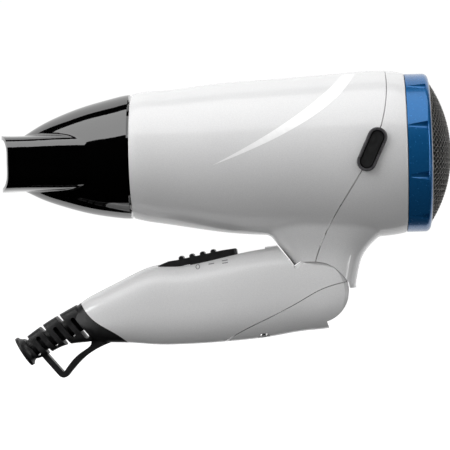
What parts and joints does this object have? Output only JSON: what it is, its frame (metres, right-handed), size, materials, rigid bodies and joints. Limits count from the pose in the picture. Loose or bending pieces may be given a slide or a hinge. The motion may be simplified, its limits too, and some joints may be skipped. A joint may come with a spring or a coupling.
{
  "type": "travel hair dryer",
  "caption": "Folding travel hair dryer: round barrel with flat concentrator nozzle, twist-off mesh filter ring, slide switch, push button and hanging-loop strain relief.",
  "frame": {"origin": "middle of the folded handle, where a hand holds it", "axes": "+X towards the air intake, -X the way the nozzle blows, +Z from the folded handle towards the barrel; the push button is on the -Y side"},
  "size_m": [0.2015, 0.076, 0.1344],
  "materials": {
    "white_shell": "pearl white, glossy",
    "black_gloss": "glossy, heat resistant",
    "blue_ring": "glossy",
    "mesh_wire": "dark bronze, woven",
    "black_satin": "satin",
    "grey_rim": "satin",
    "rubber": "matte",
    "grey_moulding": "satin",
    "steel": "zinc plated",
    "mica": "mica sheet",
    "coil_wire": "oxidised resistance wire",
    "board": "epoxy",
    "capacitor": "cast resin",
    "wire_sleeve": "silicone"
  },
  "bodies": {
    "handle": {"handle_shell": "white_shell", "handle_cover": "white_shell", "handle_screws": "steel", "cord_clamp": "grey_moulding", "clamp_screws": "steel", "strain_relief": "rubber", "switch_body": "black_satin", "suppression_capacitor": "capacitor", "handle_wires": "wire_sleeve", "hinge_pin": "steel", "hinge_washers": "steel"},
    "switch": {"switch_knob": "black_satin", "switch_slider": "black_satin"},
    "barrel": {"front_housing": "white_shell", "rear_housing": "white_shell", "housing_screws": "steel", "hinge_drum": "white_shell", "outlet_grille": "black_satin", "mica_frame": "mica", "heater_coil": "coil_wire", "mica_tube": "mica", "thermostat": "steel", "thermal_fuse": "steel", "air_duct": "grey_moulding", "motor_can": "steel", "rectifier_board": "board", "rectifier_diodes": "board", "barrel_wires": "wire_sleeve", "inlet_grille": "black_satin", "button_bezel": "grey_rim", "button_switch": "black_satin", "button_spring": "steel"},
    "button": {"push_button": "black_satin"},
    "fan": {"fan_wheel": "grey_moulding", "motor_shaft": "steel"},
    "snap_ring": {"nozzle_snap_ring": "steel"},
    "nozzle": {"nozzle": "black_gloss"},
    "filter": {"mesh_frame": "black_satin", "filter_mesh": "mesh_wire"},
    "ring": {"filter_ring": "blue_ring"}
  },
  "joints": [
    {"name": "fold_hinge", "type": "hinge", "parent": "handle", "child": "barrel", "pos_m": [0.05, 0, 0.003], "axis": [0, 1, 0], "range_deg": [0, 74]},
    {"name": "switch_slide", "type": "slide", "parent": "handle", "child": "switch", "axis": [0.99, 0, 0.1409], "range_m": [0, 0.012]},
    {"name": "button_press", "type": "slide", "parent": "barrel", "child": "button", "axis": [0, 1, 0], "range_m": [0, 0.0012], "stiffness_N_per_m": 600, "springref_m": -0.002, "deforming": ["button_spring"]},
    {"name": "fan_spin", "type": "hinge", "parent": "barrel", "child": "fan", "pos_m": [0.07, 0, 0.0635], "axis": [1, 0, 0], "continuous": true},
    {"name": "nozzle_turn", "type": "hinge", "parent": "barrel", "child": "snap_ring", "pos_m": [-0.025, 0, 0.065], "axis": [1, 0, 0], "continuous": true},
    {"name": "nozzle_pull", "type": "slide", "parent": "snap_ring", "child": "nozzle", "axis": [-1, 0, 0], "range_m": [0, 0.02]},
    {"name": "filter_lift", "type": "slide", "parent": "barrel", "child": "filter", "axis": [1, 0, 0], "range_m": [0, 0.008]},
    {"name": "ring_twist", "type": "hinge", "parent": "filter", "child": "ring", "pos_m": [0.096, 0, 0.0635], "axis": [1, 0, 0], "range_deg": [0, 40]}
  ],
  "couplings": [
    {"joint": "ring_twist", "follows": "filter_lift", "rad_per_m": 87.266}
  ]
}
